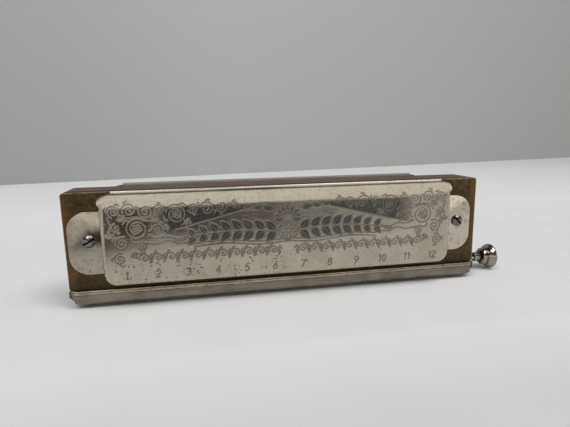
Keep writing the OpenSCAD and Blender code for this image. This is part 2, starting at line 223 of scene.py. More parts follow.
def bare_nickel(f, cloud):
    """The covers' metal: mottled, darker on the left tab and paler on the right one."""
    f.base = f.mix(f.span(cloud), (0.42, 0.38, 0.31), (0.5, 0.46, 0.38))
    f.paint(f.span(f.noise(0.35, 2), 0.45, 0.75, 0, 0.3), (0.29, 0.25, 0.19))
    left_end, right_end = COVER_SHIFT - COVER_HALF, COVER_SHIFT + COVER_HALF
    left = f.span(f.x, left_end, left_end - 1)
    right = f.span(f.x, right_end, right_end + 1)
    f.paint(f.times(left, 0.5), (0.3, 0.27, 0.22))
    f.paint(f.times(right, 0.5), (0.7, 0.64, 0.53))
    blotch = f.span(f.noise(1.2, 4, offset=5), 0.48, 0.72)
    depth = f.plus(f.times(f.plus(left, right), 0.3), 0.2)
    f.paint(f.times(blotch, depth), (0.17, 0.145, 0.105))


def engraved_tone(f, line, ground):
    """The ruled and the darkened fields, and the cut lines with the dirt along their edges; the same dark
    layer also holds painted shade along the crease under the hem.
    """
    streak = f.noise(0.28, 2, (14, 1, 1))
    f.paint(f.times(f.attribute("lined"), f.span(streak, 0.42, 0.62, 0, 0.5)), (0.17, 0.16, 0.14))
    stipple = f.span(f.noise(0.3, 1), 0.35, 0.6, 0.72, 1)
    f.paint(f.times(ground, stipple), (0.05, 0.052, 0.055))
    f.paint(f.times(line, 0.8), (0.31, 0.285, 0.245))
    # Dirt beside the cut lines, and painted shade along the crease under the hem
    f.paint(f.times(f.attribute("ink_and_crease_shade"), 0.8), (0.05, 0.042, 0.032))


def foot_pits(f):
    """Clusters of small pits, near the foot and mostly at its left."""
    spots = f.span(f.pits(1.1, 3), 0.34, 0.16)
    patch = f.plus(f.noise(4.5, 1, offset=11), f.span(f.x, -15, -40, 0, 0.08))
    low = f.times(f.span(f.z, COMB_Z + 11, COMB_Z + 8), f.span(f.x, 25, -15, 0.3, 1))
    return f.times(f.times(spots, f.span(patch, 0.5, 0.58)), low)


def cover_nickel():
    """Worn satin nickel. The engraving is matt, and so is the inner side of the sheet."""
    f = Finish("cover_nickel", Metallic=1.0)
    line, ground = f.attribute("line"), f.attribute("ground")
    cloud = f.noise(9, 4)
    bare_nickel(f, cloud)
    engraved_tone(f, line, ground)
    # The hem gets a paler base, a painted highlight along the top edge, and the rear cover's hem is
    # darkened on top as painted shade
    f.paint(f.span(f.z, FACE_TOP_Z + 0.02, FACE_TOP_Z + 0.1), (0.66, 0.62, 0.54))
    f.paint(f.times(f.span(f.z, BEAD_Z, BEAD_Z + 0.1), f.span(f.y, -1, 0, 0, 0.85)), (0.19, 0.18, 0.165))
    pit = foot_pits(f)
    f.paint(f.times(pit, 0.9), (0.04, 0.03, 0.02))
    scratch = f.span(f.noise(0.16, 1, (30, 1, 1), 0.6, 7), 0.66, 0.74)
    rough = f.span(cloud, 0.25, 0.75, 0.13, 0.2)
    for wear, more in ((line, 0.38), (ground, 0.16), (scratch, 0.12), (f.attribute("inside"), 0.4)):
        rough = f.plus(rough, f.times(wear, more))
    f.feed("Roughness", rough)
    f.bump(f.noise(0.9, 3, (3, 1, 1)), 0.004)
    f.bump(f.plus(scratch, f.times(pit, -2.0)), 0.004)
    return f.material


def aged_plate_brass():
    """Brass gone dark olive brown, with an orange cast near its edges, a golden rim that is partly rubbed
    brass and partly a painted highlight, and painted shade towards its lower edge.
    """
    f = Finish("aged_plate_brass", Metallic=0.85)
    end = f.absolute(f.x)
    cloud = f.noise(6, 5, (1, 1, 1.6), 0.4)
    fine = f.noise(0.5)
    f.base = f.mix(f.span(cloud), (0.06, 0.04, 0.018), (0.105, 0.066, 0.026))
    f.paint(f.span(fine, 0.4, 0.75, 0, 0.45), (0.03, 0.022, 0.012))
    blotch = f.noise(1.5, 4, offset=2)
    f.paint(f.span(blotch, 0.52, 0.7, 0, 0.55), (0.17, 0.112, 0.045))
    f.paint(f.span(blotch, 0.48, 0.32, 0, 0.6), (0.026, 0.019, 0.01))
    f.paint(f.span(end, HALF_LENGTH - 3.5, HALF_LENGTH, 0, 0.6), (0.15, 0.078, 0.026))
    # The golden rim along the top and the ends: partly rubbed brass, partly a painted highlight; only where
    # the plate shows beside the covers, and paler towards the right end
    top = f.span(f.z, COMB_TOP - 0.45, COMB_TOP - 0.1)
    rim = f.math("MAXIMUM", top, f.span(end, HALF_LENGTH - 0.3, HALF_LENGTH - 0.05))
    rim = f.times(rim, f.span(f.noise(2.2, 3, offset=5), 0.35, 0.6, 0.25, 1))
    bare = f.span(end, COVER_HALF - 4, COVER_HALF)
    gold_rim_and_highlight = f.mix(f.span(f.x, HALF_LENGTH - 9, HALF_LENGTH - 1), (0.31, 0.23, 0.12), (0.6, 0.5, 0.3))
    f.paint(f.times(rim, bare), gold_rim_and_highlight)
    # Painted shade towards the plate's lower edge, above the mouthpiece
    f.paint(f.span(f.z, COMB_Z + 6, COMB_Z + 1, 0, 0.6), (0.04, 0.033, 0.018))
    f.feed("Roughness", f.span(fine, 0.3, 0.7, 0.34, 0.5))
    f.bump(f.noise(0.4, 3, (6, 1, 1)), 0.012)
    return f.material


def comb_wood():
    """Pear wood stained red brown, its grain along the comb, with painted shade along the top's front edge
    beside the plate.
    """
    f = Finish("comb_wood", IOR=1.5)
    grain = f.noise(0.55, 5, (22, 1, 1), 0.5)
    band = f.noise(2.4, 3, (14, 1, 1), 0.8, 4)
    pores = f.span(f.noise(0.14, 1, (9, 1, 1), 0, 9), 0.63, 0.72)
    f.base = f.mix(f.span(grain), (0.05, 0.021, 0.012), (0.115, 0.05, 0.027))
    f.paint(f.span(band, 0.35, 0.7, 0, 0.55), (0.07, 0.023, 0.014))
    f.paint(f.times(pores, 0.8), (0.012, 0.006, 0.005))
    # Painted shade along the front edge of the top, in the gap beside the front plate under the cover's hem
    edge = f.span(f.y, -2.6, -4.6)
    f.paint(edge, (0.008, 0.004, 0.003))
    f.feed("Roughness", f.plus(f.span(grain, 0.3, 0.7, 0.38, 0.58), f.times(edge, 0.35)))
    f.bump(grain, 0.03)
    f.bump(pores, -0.03)
    return f.material


def mouth_nickel(name, dull, worn, stain):
    """Nickel rubbed along its length by lips and hands, with dirt in the seams of the stack, and painted
    shade on its top face in under the reed plates.
    """
    f = Finish(name, Metallic=1.0)
    brushed = f.noise(0.14, 2, (60, 1, 1))
    long = f.noise(0.5, 3, (26, 1, 1), 0.3, 3)
    cloud = f.noise(5, 4, offset=8)
    f.base = f.mix(f.span(cloud), dull, worn)
    f.paint(f.span(long, 0.45, 0.68, 0, 0.6), tuple(0.6 * c for c in dull))
    f.paint(f.span(brushed, 0.55, 0.75, 0, 0.5), tuple(1.4 * c for c in worn))
    for seam in (cage_low.z, cage_high.z):
        away = f.absolute(f.math("SUBTRACT", f.z, seam))
        f.paint(f.span(away, 0.13, 0.05, 0, 0.85), (0.02, 0.016, 0.012))
    rust = f.span(f.noise(0.45, 3, (2.2, 1, 1), offset=17), 0.56, 0.68, 0, stain)
    f.paint(rust, (0.075, 0.042, 0.02))
    end = f.absolute(f.x)
    f.paint(f.span(end, HALF_LENGTH - 1.6, HALF_LENGTH - 0.2, 0, 0.75), (0.045, 0.032, 0.022))
    # Painted shade on the top face, in under the reed plates
    top = f.span(f.z, COMB_Z - 0.15, COMB_Z - 0.02)
    behind = f.times(top, f.span(f.absolute(f.y), 8.1, 7.5))
    f.paint(f.times(behind, 0.85), (0.03, 0.02, 0.012))
    f.feed("Roughness", f.span(cloud, 0.3, 0.7, 0.24, 0.38))
    f.bump(brushed, 0.012)
    return f.material


def slide_nickel():
    f = Finish("slide_nickel", Metallic=1.0)
    brushed = f.noise(0.12, 2, (50, 1, 1))
    f.feed("Base Color", f.mix(f.span(f.noise(3)), (0.5, 0.46, 0.37), (0.62, 0.59, 0.51)))
    f.feed("Roughness", f.span(brushed, 0.3, 0.7, 0.2, 0.34))
    f.bump(brushed, 0.006)
    return f.material


def button_nickel():
    """Polished nickel, turned, darker in the waist and at the neck, with pinhead pits."""
    f = Finish("button_nickel", Metallic=1.0)
    cloud = f.noise(2.5, 4)
    pit = f.span(f.pits(0.7), 0.14, 0.06)
    pit = f.times(pit, f.span(f.noise(2.2, 1, offset=6), 0.5, 0.6))
    f.base = f.mix(f.span(cloud), (0.27, 0.24, 0.195), (0.35, 0.32, 0.27))
    f.paint(pit, (0.06, 0.045, 0.03))
    # Darker in the waist and at the neck
    f.paint(f.attribute("dirt_and_shade"), (0.03, 0.024, 0.018))
    f.feed("Roughness", f.span(cloud, 0.3, 0.75, 0.08, 0.15))
    f.bump(f.noise(0.5, 2, (0.3, 2, 2)), 0.004)
    return f.material


def screw_steel():
    """Plated steel with worn crowns, painted shade in the slots and a painted shadow round the foot of each
    head.
    """
    f = Finish("screw_steel", Metallic=1.0)
    cloud = f.noise(0.8, 4)
    f.base = f.mix(f.span(cloud, 0.35, 0.7), (0.13, 0.125, 0.115), (0.26, 0.25, 0.22))
    f.paint(f.span(f.noise(0.3, 2), 0.55, 0.8, 0, 0.4), (0.08, 0.065, 0.045))
    # Painted shade in the slots and a painted shadow round the foot of each head
    f.paint(f.attribute("dirt_and_shade"), (0.012, 0.01, 0.008))
    f.feed("Roughness", f.span(cloud, 0.3, 0.7, 0.16, 0.3))
    f.bump(f.noise(0.5, 2), 0.004)
    return f.material


def spring_steel():
    f = Finish("spring_steel", Metallic=1.0)
    f.feed("Base Color", f.mix(f.span(f.noise(0.9), 0.35, 0.7), (0.22, 0.2, 0.17), (0.42, 0.4, 0.36)))
    f.feed("Roughness", f.span(f.noise(0.4, 2), 0.3, 0.7, 0.25, 0.42))
    f.bump(f.noise(0.1, 1, (1, 1, 8)), 0.004)
    return f.material


def brass(name, light, dark, along_z):
    """Yellow brass: reeds are filed along their length, rivets and pins are rubbed all over."""
    f = Finish(name, Metallic=1.0)
    filed = f.noise(0.08, 2, (1, 1, 20 if along_z else 1))
    f.base = f.mix(f.span(f.noise(3, 4)), dark, light)
    f.paint(f.span(filed, 0.5, 0.75, 0, 0.35), tuple(0.5 * c for c in dark))
    f.feed("Roughness", f.span(filed, 0.3, 0.7, 0.24, 0.4))
    f.bump(filed, 0.006)
    return f.material


def valve_film():
    """Thin yellowed valve leather, with a fine nap."""
    f = Finish("valve_film", Sheen_Weight=0.3, Roughness=0.7)
    nap = f.noise(0.25, 4)
    f.feed("Base Color", f.mix(f.span(nap), (0.42, 0.33, 0.22), (0.6, 0.5, 0.36)))
    f.bump(nap, 0.03)
    return f.material


PLAIN = (cover_nickel, aged_plate_brass, comb_wood, slide_nickel, button_nickel, screw_steel, spring_steel,
         valve_film)
MATERIALS = {make.__name__: make() for make in PLAIN}
MATERIALS["mouth_nickel"] = mouth_nickel("mouth_nickel", (0.17, 0.152, 0.125), (0.25, 0.228, 0.19), 0.35)
MATERIALS["cage_nickel"] = mouth_nickel("cage_nickel", (0.31, 0.265, 0.2), (0.47, 0.41, 0.32), 0.75)
MATERIALS["reed_brass"] = brass("reed_brass", (0.62, 0.44, 0.18), (0.42, 0.28, 0.1), True)
MATERIALS["rivet_brass"] = brass("rivet_brass", (0.55, 0.39, 0.16), (0.33, 0.22, 0.09), False)


# ---- CAD nodes that keep their shape

def dress(node, slot, bevel=None):
    """Give a CAD node its material, and round its edges where bevel is a radius."""
    item = frame["nodes"][node]
    item.data.materials.clear()
    item.data.materials.append(MATERIALS[slot])
    if bevel is None:
        return
    weld = item.modifiers.new("weld", "WELD")
    weld.merge_threshold = 0.002 * MM
    merge = item.modifiers.new("flat", "DECIMATE")
    merge.decimate_type = "DISSOLVE"
    merge.angle_limit = radians(1)
    rounding = item.modifiers.new("round", "BEVEL")
    rounding.width = bevel * MM
    rounding.segments = 2
    rounding.limit_method = "ANGLE"
    rounding.angle_limit = radians(35)
    rounding.harden_normals = True


dress("comb", "comb_wood", 0.15)
for side in ("front", "rear"):
    dress(f"{side}_reed_plate", "aged_plate_brass", 0.08)
    dress(f"{side}_blow_reeds", "reed_brass")
    dress(f"{side}_draw_reeds", "reed_brass")
    dress(f"{side}_reed_rivets", "rivet_brass", 0.05)
    dress(f"{side}_outer_valves", "valve_film")
    dress(f"{side}_inner_valves", "valve_film")
    dress(f"{side}_plate_nails", "rivet_brass", 0.06)
dress("cover_nuts", "screw_steel", 0.15)
dress("backing_plate", "cage_nickel", 0.12)
dress("slide_cage", "cage_nickel", 0.14)
dress("mouthpiece", "mouth_nickel", 0.2)
dress("mouthpiece_screws", "screw_steel", 0.06)
dress("slide", "slide_nickel", 0.05)
dress("button_pin", "screw_steel", 0.06)
dress("spring_pin", "rivet_brass", 0.1)


# ---- engraving

STROKE_STEP = 0.08
FAR = 9.0
SPIRAL_STEPS = 48
BLOSSOM_R = 2.8


def ease(value, low, high):
    """0 below low, 1 above high, eased between; low may be the larger."""
    t = np.clip((np.asarray(value, float) - low) / (high - low), 0, 1)
    return t * t * (3 - 2 * t)


def polar(x, z, r, angle):
    """The point at distance r from (x, z), at that angle in radians."""
    return (x + r * cos(angle), z + r * sin(angle))


def through(points, step=0.25):
    """A smooth line through points, by Catmull-Rom."""
    p = np.array([points[0], *points, points[-1]], float)
    line = []
    for a, b, c, d in zip(p, p[1:], p[2:], p[3:]):
        for t in np.arange(0, 1, min(1, step / max(np.linalg.norm(c - b), step))):
            line.append(0.5 * (2 * b + (c - a) * t + (2 * a - 5 * b + 4 * c - d) * t ** 2
                               + (3 * b - a - 3 * c + d) * t ** 3))
    return np.array([*line, p[-1]])


class Engraving:
    """Cut lines on a cover's face, kept as a fine grid of distances to the nearest line's edge."""

    cell = 0.1

    def __init__(self, half, low, high):
        self.x = np.arange(-half, half + self.cell, self.cell)
        self.z = np.arange(low, high + self.cell, self.cell)
        self.edge = np.full((len(self.z), len(self.x)), FAR)

    def dot(self, x, z, radius):
        reach = radius + 0.7
        i0, i1 = np.searchsorted(self.z, (z - reach, z + reach))
        j0, j1 = np.searchsorted(self.x, (x - reach, x + reach))
        away = np.hypot(self.x[None, j0:j1] - x, self.z[i0:i1, None] - z) - radius
        self.edge[i0:i1, j0:j1] = np.minimum(self.edge[i0:i1, j0:j1], away)

    def line(self, points, start, end=None, middle=None):
        """A line through points: start, middle and end are its half widths."""
        end = start if end is None else end
        points = np.asarray(points, float)
        along = np.concatenate([[0], np.cumsum(np.linalg.norm(np.diff(points, axis=0), axis=1))])
        for s in np.arange(0, along[-1] + STROKE_STEP, STROKE_STEP):
            t = min(1, s / along[-1])
            width = start + (end - start) * t
            if middle is not None:
                width += (middle - width) * sin(pi * t)
            self.dot(np.interp(s, along, points[:, 0]), np.interp(s, along, points[:, 1]), width)

    def mirror(self):
        """Copy the left half onto the right."""
        self.edge = np.minimum(self.edge, self.edge[:, ::-1])

    def at(self, x, z):
        """Distance to the nearest line's edge, negative inside a line."""
        i = np.clip((z - self.z[0]) / self.cell, 0, len(self.z) - 1.001)
        j = np.clip((x - self.x[0]) / self.cell, 0, len(self.x) - 1.001)
        a, b = i.astype(int), j.astype(int)
        u, v = i - a, j - b
        low, top = [self.edge[k, b] * (1 - v) + self.edge[k, b + 1] * v for k in (a, a + 1)]
        return low * (1 - u) + top * u


def leaf(art, x, z, angle, length, width, weight=0.12, vein=True, fill=None):
    """A pointed leaf in outline, from its stalk end; fill is the layer that darkens it inside."""
    a = radians(angle)

    def at(t, side=0.0):
        return (x + length * t * cos(a) - side * sin(a),
                z + length * t * sin(a) + side * cos(a))

    if fill is not None:
        fill.line([at(0.1), at(0.9)], 0.08, 0.08, 0.46 * width)
    for half in (-width / 2, width / 2):
        art.line([at(t, half * sin(pi * t ** 0.8)) for t in np.linspace(0, 1, 13)], weight)
    if vein:
        art.line([at(0), at(0.75)], weight, 0.04)


def trefoil(art, x, z, angle, size):
    """Three pointed lobes on a short stalk."""
    for turn, share in ((-55, 0.75), (0, 1.0), (55, 0.75)):
        leaf(art, x, z, angle + turn, share * size, 0.5 * share * size, 0.13, False)


def scroll(art, centre, radius, turns, start, hand, weight=0.13):
    """A spiral from its outer end, at angle start in degrees, with sprouts outside it.

    A large one has a blossom in its middle, a small one an eye."""
    blossom = radius > BLOSSOM_R
    eye = 0.5 if blossom else 0.16
    first = radians(start)
    points = [polar(*centre, radius * (1 - (1 - eye) * t), first + hand * 2 * pi * turns * t)
              for t in np.linspace(0, 1, int(turns * SPIRAL_STEPS) + 1)]
    art.line(points, weight, 0.75 * weight)
    art.dot(*points[-1], 0.3)
    for petal in range(5 if blossom else 0):
        angle = 72 * petal + start
        root = polar(*centre, 0.3, radians(angle))
        leaf(art, *root, angle, 0.36 * radius, 0.3 * radius, 0.1, False)
    for sprout in range(3 if blossom else 2):
        angle = first + hand * (1.2 + 1.9 * sprout)
        path = [polar(*centre, share * radius, angle + hand * on)
                for share, on in ((1, 0), (1.25, 0.2), (1.3, 0.55))]
        art.line(through(path), 0.12, 0.06, 0.16)


def arc(x, z, r, start, end, tall=1.0):
    """Points round part of an oval, angles in degrees."""
    return [(x + r * cos(radians(a)), z + tall * r * sin(radians(a)))
            for a in np.linspace(start, end, max(3, int(abs(end - start) / 15)))]


# Strokes of each digit in a box that is 1 high and about 0.55 wide
DIGITS = {
    "0": [arc(0.27, 0.5, 0.26, 0, 360, 1.9)],
    "1": [[(0.1, 0.78), (0.28, 1), (0.28, 0)]],
    "2": [arc(0.27, 0.74, 0.25, 165, -30) + [(0.02, 0), (0.54, 0)]],
    "3": [arc(0.25, 0.76, 0.23, 150, -80), arc(0.25, 0.27, 0.27, 85, -150)],
    "4": [[(0.42, 0), (0.42, 1), (0, 0.3), (0.56, 0.3)]],
    "5": [[(0.5, 1), (0.1, 1), (0.06, 0.55)] + arc(0.25, 0.32, 0.3, 120, -140)],
    "6": [[(0.44, 1), (0.12, 0.55)] + arc(0.27, 0.29, 0.27, 150, 510)],
    "7": [[(0.02, 1), (0.54, 1), (0.2, 0)]],
    "8": [arc(0.27, 0.76, 0.22, 0, 360), arc(0.27, 0.27, 0.27, 0, 360)],
    "9": [arc(0.27, 0.71, 0.27, -30, 330) + [(0.12, 0)]],
}
DIGIT_HIGH = 2.4
DIGIT_PITCH = 0.58 * DIGIT_HIGH
DIGIT_SLANT = 0.14
# Spacing of the numbers, as a share of the holes' pitch
NUMBER_PITCH = 0.992


def number(art, value, x, z):
    """A hole's number, centred on x, with its foot at z."""
    text = str(value)
    left = x - DIGIT_PITCH * len(text) / 2 + 0.05 * DIGIT_HIGH
    for k, digit in enumerate(text):
        for stroke in DIGITS[digit]:
            art.line([(left + k * DIGIT_PITCH + DIGIT_HIGH * (u + DIGIT_SLANT * v), z + DIGIT_HIGH * v)
                      for u, v in stroke], 0.085)


# Heights of the ornament above the comb's lower face
NUMBER_LOW = 4.3
NUMBER_CLEAR = 7.3
WAVE_Z = 10.9
SPRIG_Z = 17.4
ART_TOP = 28.2
GABLE_LOW, GABLE_HIGH = (36.0, 19.4), (7.0, 26.6)


def gable_height(x):
    """Upper edge of the ruled field in the middle, falling away from the centre like a gable."""
    t = (np.abs(x) - GABLE_HIGH[0]) / (GABLE_LOW[0] - GABLE_HIGH[0])
    return GABLE_HIGH[1] + (GABLE_LOW[1] - GABLE_HIGH[1]) * np.clip(t, 0, 2)


# Scrolls of the left end: centre, height, radius, turns, angle of the outer end, and hand
SCROLLS = [
    (-54.2, 26.0, 1.9, 1.7, 250, -1), (-49.6, 26.2, 2.1, 1.6, 200, -1), (-44.7, 25.6, 2.2, 1.7, 160, 1),
    (-40.5, 25.9, 1.6, 1.4, 180, -1), (-35.6, 24.3, 3.0, 1.5, 140, -1), (-30.4, 26.0, 1.7, 1.5, 200, 1),
    (-26.0, 25.6, 2.2, 1.7, 170, -1), (-21.3, 26.0, 1.8, 1.6, 180, 1), (-17.4, 26.2, 1.3, 1.4, 180, -1),
    (-47.6, 20.2, 3.5, 1.5, 60, 1), (-53.8, 20.9, 1.5, 1.4, 100, 1), (-41.2, 19.7, 1.9, 1.6, 150, -1),
    (-52.4, 15.8, 2.3, 1.7, 60, 1), (-46.6, 14.6, 1.5, 1.5, 120, -1), (-53.2, 11.0, 1.9, 1.6, 90, 1),
]
# Trefoils between them: place, angle and size
TREFOILS = [
    (-51.8, 23.4, 120, 2.0), (-42.6, 22.8, 60, 2.2), (-38.2, 20.6, 200, 1.8),
    (-56.0, 17.9, 90, 1.9), (-49.2, 12.6, 300, 1.8), (-32.6, 22.2, 330, 1.8),
]
# Stems that tie them together
STEMS = [
    [(-56.2, 24.4), (-55.6, 22.4), (-54.4, 19.0), (-55.0, 16.6)],
    [(-51.6, 24.6), (-50.4, 23.8), (-47.0, 23.9), (-43.6, 22.6), (-38.2, 22.2)],
    [(-44.4, 18.4), (-42.0, 17.4), (-38.6, 17.6), (-35.4, 16.6), (-32.4, 17.2)],
    [(-44.8, 15.8), (-41.6, 15.4), (-38.4, 16.2), (-35.2, 15.0), (-31.6, 15.4)],
]


def draw_vines(art):
    """The scrollwork of the left end, and the gable's edge."""
    for x, z, *shape in SCROLLS:
        scroll(art, (x, z), *shape)
    for spot in TREFOILS:
        trefoil(art, *spot)
    for path in STEMS:
        art.line(through(path), 0.14, 0.08)
    art.line([(-GABLE_LOW[0], GABLE_LOW[1]), (-GABLE_HIGH[0], GABLE_HIGH[1])], 0.12)


def draw_sprig(art, fill):
    """An arched stem with pairs of leaves."""
    stem = through([(-34.5, 16.2), (-27, 17.6), (-18, 18.1), (-9, 17.8), (-4.6, 17.2)])
    art.line(stem, 0.1, 0.2)
    for x in np.arange(-31.0, -5.0, 3.7):
        z = np.interp(x, stem[:, 0], stem[:, 1])
        size = 3.4 + 1.3 * ease(x, -32, -16)
        for angle in (132, 228):
            leaf(art, x + 0.9, z, angle, size, 0.56 * size, 0.1, True, fill)
    leaf(art, -33.6, 16.4, 186, 3.0, 1.2)


def draw_middle(art, fill):
    """A fan of leaves, and a ringed rosette under it."""
    for k in range(5):
        angle = 90 + k * 22.5
        root = 0.25 * cos(radians(angle))
        leaf(art, root, 20.9, angle, 5.4 - 0.25 * k, 1.8, 0.13, True, fill)
    for x, z, angle, size in ((-4.4, 24.4, 168, 4.4), (-8.0, 25.2, 176, 4.2), (-11.4, 25.5, 180, 3.2)):
        leaf(art, x, z, angle, size, 0.4 * size, 0.1, True, fill)
    for angle in range(0, 360, 45):
        root = polar(0, SPRIG_Z, 0.8, radians(angle))
        leaf(art, *root, angle, 2.3, 1.3, 0.12, False)
    art.line(arc(0, SPRIG_Z, 0.75, 0, 360), 0.14)
    art.line(arc(0, SPRIG_Z, 3.3, 0, 360), 0.12)


def draw_borders(art):
    """A double ribbon under the sprig, and a fine running wave of open loops and buds."""
    for drop in (0.0, 1.0):
        bends = ((-30.5, 14.6), (-21, 15.3), (-10, 14.2), (0, 14.7))
        art.line(through([(x, z - drop) for x, z in bends]), 0.07)
    for x in np.arange(-46.0, -1, 4.1):
        scroll(art, (x, WAVE_Z), 1.6, 1.35, 200, -1, 0.09)
        art.line(through([(x + 1.5, WAVE_Z - 0.6), (x + 2.1, WAVE_Z + 1.2), (x + 2.9, WAVE_Z + 0.2)]), 0.08)
        leaf(art, x + 2.2, WAVE_Z - 0.4, 250, 1.4, 0.6, 0.07, False)


def engraving_layers():
    """The cut lines and the darkened fillings of the ornament, the same at both ends."""
    art, fill = [Engraving(COVER_HALF, 1.0, ART_TOP + 2) for _ in range(2)]
    draw_vines(art)
    draw_sprig(art, fill)
    draw_middle(art, fill)
    draw_borders(art)
    art.mirror()
    fill.mirror()
    return art, fill


def front_engraving():
    """The same ornament with the holes' numbers under it."""
    art, fill = engraving_layers()
    boxes = [o["box_m"] for o in frame["record"]["physics"]["openings"] if "blow_hole" in o["name"]]
    middles = sorted((low[0] + high[0]) / 2 for low, high in boxes)
    pitch = NUMBER_PITCH * (middles[-1] - middles[0]) / (len(middles) - 1) / MM
    for k in range(len(middles)):
        number(art, k + 1, (k - (len(middles) - 1) / 2) * pitch, NUMBER_LOW)
    return art, fill


# ---- meshes

def join(*shapes):
    """One list of points and one of faces from several shapes."""
    points, faces = [], []
    for more_points, more_faces in shapes:
        shift = len(points)
        points += more_points
        faces += [tuple(shift + v for v in f) for f in more_faces]
    return points, faces


def skin(count, n):
    """Faces over count rings of n points each, with the first and the last ring closed."""
    last = (count - 1) * n
    faces = [tuple(range(n))[::-1], tuple(range(last, last + n))]
    for a in range(0, last, n):
        faces += [(a + i, a + (i + 1) % n, a + n + (i + 1) % n, a + n + i) for i in range(n)]
    return faces


def add_piece(name, points, faces, slot, node, body=BODY, layers=None, sharp=40):
    """A mesh in millimetres that rides on a body and stands for a CAD node.

    Edges that turn by more than sharp degrees stay sharp; layers holds values at its points."""
    mesh = bpy.data.meshes.new(name)
    mesh.from_pydata((np.array(points, float) * MM).tolist(), [], faces)
    for key, values in (layers or {}).items():
        mesh.attributes.new(key, "FLOAT", "POINT").data.foreach_set("value", np.array(values, np.float32))
    shape = bmesh.new()
    shape.from_mesh(mesh)
    bmesh.ops.recalc_face_normals(shape, faces=shape.faces)
    shape.to_mesh(mesh)
    shape.free()
    mesh.shade_smooth()
    mesh.set_sharp_from_angle(angle=radians(sharp))
    mesh.materials.append(MATERIALS[slot])
    piece = new_object(name, mesh)
    if body:
        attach(piece, body)
    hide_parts(node)
    return piece


# ---- covers

COVER_STEP = 0.2
THINNING = 8
BEND_RINGS = 6
WALL_RINGS = 3
# The folded hem in section, as steps out and up from the bead's centre
HEM = [
    (0.33, -0.36), (0.436, -0.33), (0.43, -0.3), (0.385, -0.02), (0.378, 0.02), (0.34, 0.09),
    (0.25, 0.14), (0, 0.18), (-0.25, 0.14), (-0.36, 0.04), (-0.36, -0.4), (-0.36, -0.9),
]
EAR_DROOP = 0.35
BACK_LEAN = 0.105
BACK_ROUND = 0.45
CREASE = 0.12
FLAT_X = 50.0
LINE_DEPTH = 0.045
GROUND_DEPTH = 0.012
DENT_DEPTH = 0.035
TAB_RIM = 0.12
FILLET = 0.8


def half_length(z):
    """Half the length of the raised part at height z, above its foot: straight side, then flared ear."""
    if z < EAR_Z:
        return COVER_HALF + EAR_FLARE * float(ease(z, NECK_Z, EAR_Z))
    t = min(1, (z - EAR_Z) / (FACE_TOP_Z - EAR_Z))
    return BEAD_HALF + (COVER_HALF + EAR_FLARE - BEAD_HALF) * sqrt(max(0, 1 - t * t))


def face_out(z):
    """How far the face stands out from the reed plate at height z; its back edge leans in."""
    past = max(0, z - BACK_BEND_Z)
    lean = BACK_LEAN * (hypot(past, BACK_ROUND) - BACK_ROUND)
    return COVER_RISE - lean - CREASE * float(ease(z, FACE_TOP_Z - 0.7, FACE_TOP_Z))


def unbent(z):
    """0 where the end of the cover is bent down into a wall, 1 at the flared ears."""
    return float(ease(z, NECK_Z, NECK_Z + 1.2))


def bend_start(z):
    """Half length where the end bend starts, and the bend's outward direction there."""
    r = CORNER - BEND
    centre = FOOT_Z + CORNER
    if z < centre:
        rise = sqrt(max(0, r * r - (centre - z) ** 2))
        return COVER_HALF - CORNER + rise, (rise / r, (z - centre) / r)
    return half_length(z) - BEND - EAR_FLARE * unbent(z), (1, 0)


